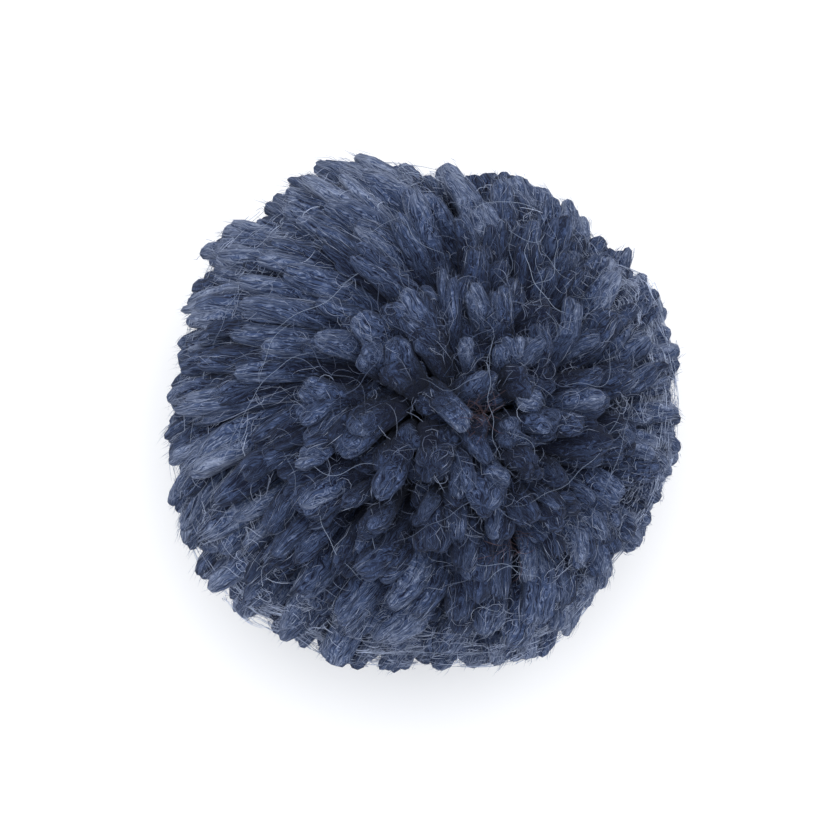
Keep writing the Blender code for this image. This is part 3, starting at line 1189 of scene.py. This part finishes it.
# %% Paints
class Paint:
    """A material whose nodes are added by calls."""

    def __init__(self, name, **constants):
        self.material = bpy.data.materials.new(name)
        self.material.use_nodes = True
        self.tree = self.material.node_tree
        self.shader = self.tree.nodes["Principled BSDF"]
        for socket, value in constants.items():
            self.shader.inputs[socket.replace("_", " ")].default_value = value

    def node(self, kind, settings=None, inputs=(), output=0):
        """Adds a node, sets it up, fills or links its inputs and gives one of its outputs."""
        node = self.tree.nodes.new(kind)
        for name, value in (settings or {}).items():
            setattr(node, name, value)
        pairs = inputs.items() if isinstance(inputs, dict) else enumerate(inputs)
        for key, value in pairs:
            if isinstance(value, Wire):
                self.tree.links.new(value.socket, node.inputs[key])
            else:
                node.inputs[key].default_value = value
        return Wire(self, node.outputs[output])

    def mix(self, share, first, second):
        """A colour between two others."""
        return self.node("ShaderNodeMix", {"data_type": "RGBA"}, {0: share, 6: first, 7: second}, output=2)

    def feed(self, socket, wire):
        self.tree.links.new(wire.socket, self.shader.inputs[socket])

    def put_on(self, pieces):
        for piece in pieces:
            piece.data.materials.append(self.material)


print("a paint can add nodes, mix colours, feed its shader and go on pieces")

# %% [markdown]
# ## The colours of the wool
#
# Wool has no gloss. Its colour is built from many fibres of slightly different blue, painted almost
# black in the depth as shade and painted pale where it is open to the light or worn at the rim, and its
# soft bloom comes from light that grazes countless fine hairs, which the shader calls sheen.

# %% Colours
DARK = (0.0036, 0.0060, 0.020, 1)  # deep between the ends: painted shade
BODY = (0.044, 0.069, 0.150, 1)
BLOOM = (0.26, 0.305, 0.425, 1)  # tips at the worn rim and in the open: painted light; and pale fibres
HAIR_DARK = (0.040, 0.058, 0.120, 1)
LONG_PALE = (0.28, 0.34, 0.46, 1)
HALO_PALE = (0.53, 0.61, 0.81, 1)
BROWN_DARK = (0.035, 0.022, 0.030, 1)
BROWN_PALE = (0.105, 0.062, 0.070, 1)
# The heart's colours are painted shade: the roots deep in the ball are the same blue wool, in shadow.
HEART_DARK = (0.004, 0.006, 0.012, 1)
HEART_PALE = (0.02, 0.03, 0.06, 1)
SHEEN_TINT = (0.62, 0.72, 0.95, 1)


def wool_paint(name, roughness, sheen, shine):
    """A new wool material, and the tone that its pieces carry."""
    paint = Paint(
        name,
        Roughness=roughness,
        Sheen_Weight=sheen,
        Sheen_Roughness=0.5,
        Sheen_Tint=SHEEN_TINT,
        Specular_IOR_Level=shine,
    )
    return paint, paint.node("ShaderNodeAttribute", {"attribute_name": "tone"}, output=2)


def from_dark_to_light(paint, tone):
    """Wool in its three shades: deep at 0, which is painted shade, its body colour at a half, and light at 1,
    which is pale wool and painted light.
    """
    lower = (tone * 2.0).clamped()
    upper = (tone * 2.0 - 1.0).clamped()
    return paint.mix(upper, paint.mix(lower, DARK, BODY), BLOOM)


print("the wool's body colour is", BODY[:3])

# %% [markdown]
# ## The yarn's own surface
#
# On a wisp, strands too fine to model are drawn: two sets of thin wavy lines, one combed along the
# yarn and one frizzier, over a grain and a broad mottling. They come from noise that is stretched along
# the yarn in the UV map, so they follow every bend. The same grain is used as a shallow bump.

# %% Yarn paint
BUMP = 0.0003
WARP_SCALE = 40.0
SHAFT_V = (0.58, 0.95)  # between these heights on a wisp its painted shade gives way to painted light
SHAFT_LIGHT = (-0.34, 0.11)  # by how much lighter below and above them: painted shade below, painted light above
GRAIN, COMBED, FRIZZY, MOTTLING = 1.5, 0.26, 0.34, 0.8  # how strongly each of the drawings shows
TONE_SHOWS, DIMMED = 0.8, 0.26
COMBED_RELIEF = 0.3


def wool_noise(paint, across, along, warp):
    """Noise that is stretched along the yarn, and made wavy."""
    uv = paint.node("ShaderNodeUVMap", {"uv_map": MAPS[0]})
    swaying = {"Vector": uv, "Scale": WARP_SCALE, "Detail": 2.0}
    sway = paint.node("ShaderNodeTexNoise", {}, swaying, output=1)
    half = paint.node("ShaderNodeVectorMath", {"operation": "SUBTRACT"}, [sway, (0.5, 0.5, 0.5)])
    waved = paint.node("ShaderNodeVectorMath", {"operation": "MULTIPLY_ADD"}, [half, (warp, 0, 0), uv])
    stretched = paint.node("ShaderNodeMapping", {}, {"Vector": waved, "Scale": (across, along, 1)})
    return paint.node("ShaderNodeTexNoise", {}, {"Vector": stretched, "Scale": 1.0, "Detail": 2.0})


def lines_in(noise, thinness):
    """Thin lines where noise crosses its middle: 1 on a line, 0 beside it."""
    return (1.0 - abs(noise - 0.5) * thinness).clamped()


def yarn_paint():
    """Drawn strands over the tone of each wisp, with painted shade darker down its shaft."""
    paint, tone = wool_paint("wool_yarn", roughness=0.92, sheen=0.06, shine=0.2)
    grain = wool_noise(paint, across=470, along=72, warp=0.028)
    combed = lines_in(grain, thinness=13.0)
    frizzy = lines_in(wool_noise(paint, across=360, along=105, warp=0.060), thinness=15.0)
    mottling = wool_noise(paint, across=50, along=14, warp=0.01)
    uv = paint.node("ShaderNodeUVMap", {"uv_map": MAPS[0]})
    v = paint.node("ShaderNodeSeparateXYZ", {}, [uv], output=1)
    up_the_wisp = paint.node("ShaderNodeMath", {"operation": "FRACT"}, [v * SHADES[1]])
    eased = {"interpolation_type": "SMOOTHSTEP"}
    shaft = paint.node("ShaderNodeMapRange", eased, [up_the_wisp, *SHAFT_V, *SHAFT_LIGHT])
    strands = (grain - 0.5) * GRAIN + combed * COMBED + frizzy * FRIZZY + (mottling - 0.5) * MOTTLING
    light = (strands + tone * TONE_SHOWS - DIMMED + shaft).clamped()
    paint.feed("Base Color", from_dark_to_light(paint, light))
    relief = {"Strength": 1.0, "Distance": BUMP, "Height": grain + combed * COMBED_RELIEF}
    paint.feed("Normal", paint.node("ShaderNodeBump", {}, relief))
    return paint


yarn_paint().put_on(yarn)
print("painted", len(yarn), "pieces of yarn")

# %% [markdown]
# ## Fibres, hairs and heart
#
# A fibre is too thin to carry a drawing, so it has one shade along its whole length, read from its
# tone. Loose hairs run between two colours of their own. The heart is matt and painted almost black, as
# the shadow deep in the ball, with a faint cloud.


# %% Fibre, hair and heart paints
def fibre_paint(name):
    """Fibres in the three shades of the wool."""
    paint, tone = wool_paint(name, roughness=0.85, sheen=0.05, shine=0.25)
    paint.feed("Base Color", from_dark_to_light(paint, tone))
    return paint


def hair_paint(name, dark, pale, sheen):
    """Hairs between two shades of their own."""
    paint, tone = wool_paint(name, roughness=0.85, sheen=sheen, shine=0.25)
    paint.feed("Base Color", paint.mix(tone, dark, pale))
    return paint


def heart_paint(name):
    """Crowded roots, painted almost black as deep shadow."""
    paint = Paint(name, Roughness=1.0, Specular_IOR_Level=0.0)
    place = paint.node("ShaderNodeTexCoord", output="Object")
    cloud = paint.node("ShaderNodeTexNoise", {}, {"Vector": place, "Scale": 260.0, "Detail": 4.0})
    paint.feed("Base Color", paint.mix(cloud, HEART_DARK, HEART_PALE))
    return paint


fibre_paint("wool_fibre").put_on(fibres)
heart_paint("wool_heart").put_on([heart_piece])
hair_paint("wool_halo", HAIR_DARK, HALO_PALE, sheen=0.1).put_on(halo)
hair_paint("wool_hair", HAIR_DARK, LONG_PALE, sheen=0.1).put_on([hairs])
hair_paint("wool_brown", BROWN_DARK, BROWN_PALE, sheen=0.05).put_on(brown)
print("materials:", [material.name for material in bpy.data.materials])

# %% [markdown]
# ## One body for all the pieces
#
# The pom pom has no moving parts, so every piece rides on the one body, takes the place of its solid
# and belongs to its one material slot.

# %% Ride, replace and slot
pieces = [*yarn, heart_piece, *fibres, *halo, hairs, *brown]
for piece in pieces:
    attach(piece, "root")
    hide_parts("pom_pom")
print("total:", sum(triangles_in(piece) for piece in pieces), "triangles in", len(pieces), "pieces")

# %% [markdown]
# ## Camera, floor and light
#
# The camera looks straight down on the parting. The floor is a plain pale square, and the light is one
# large soft lamp a little behind the ball, in a bright room, so that every tuft has a soft shadow on
# its near side. A camera that isn't turned looks along -Z.

# %% Camera
LENS = 85.0
SENSOR = 36.0
CAMERA_HEIGHT = 0.3787  # above the heart
CAMERA_ASIDE = (-0.0018, -0.0002)  # from the ball's middle
camera = in_scene("camera", bpy.data.cameras.new("camera"))
camera.data.lens, camera.data.sensor_width = LENS, SENSOR
camera.location = (*CAMERA_ASIDE, HEART_CENTRE[2] + CAMERA_HEIGHT)
bpy.context.scene.camera = camera
print("the camera is", round(1000 * camera.location.z), "mm up")

# %% Floor
FLOOR_HALF = 3  # half of its side
ground = bmesh.new()
bmesh.ops.create_grid(ground, x_segments=1, y_segments=1, size=FLOOR_HALF)
floor = piece_of("floor", ground)
pale_floor = Paint("pale_floor", Roughness=0.9, Base_Color=(0.93, 0.93, 0.94, 1), Specular_IOR_Level=0.1)
pale_floor.put_on([floor])
print("the floor has", len(floor.data.polygons), "face")

# %% Light
KEY_PLACE = (0.05, 0.26, 1.08)
KEY_TARGET = (0, 0, 0.04)
KEY_SIZE, KEY_POWER = 0.9, 7
ROOM_COLOUR, ROOM_STRENGTH = (0.95, 0.97, 1.0, 1), 1.0
key = bpy.data.lights.new("key", "AREA")
key.shape, key.size, key.energy = "DISK", KEY_SIZE, KEY_POWER
lamp = in_scene("key", key)
lamp.location = KEY_PLACE
lamp.rotation_euler = (Vector(KEY_TARGET) - Vector(KEY_PLACE)).to_track_quat("-Z", "Y").to_euler()
world = bpy.data.worlds.new("soft_room")
world.use_nodes = True
room = world.node_tree.nodes["Background"]
room.inputs["Color"].default_value = ROOM_COLOUR
room.inputs["Strength"].default_value = ROOM_STRENGTH
bpy.context.scene.world = world
bpy.context.scene.view_settings.view_transform = "Standard"
print("lit by", key.name, "and", world.name)
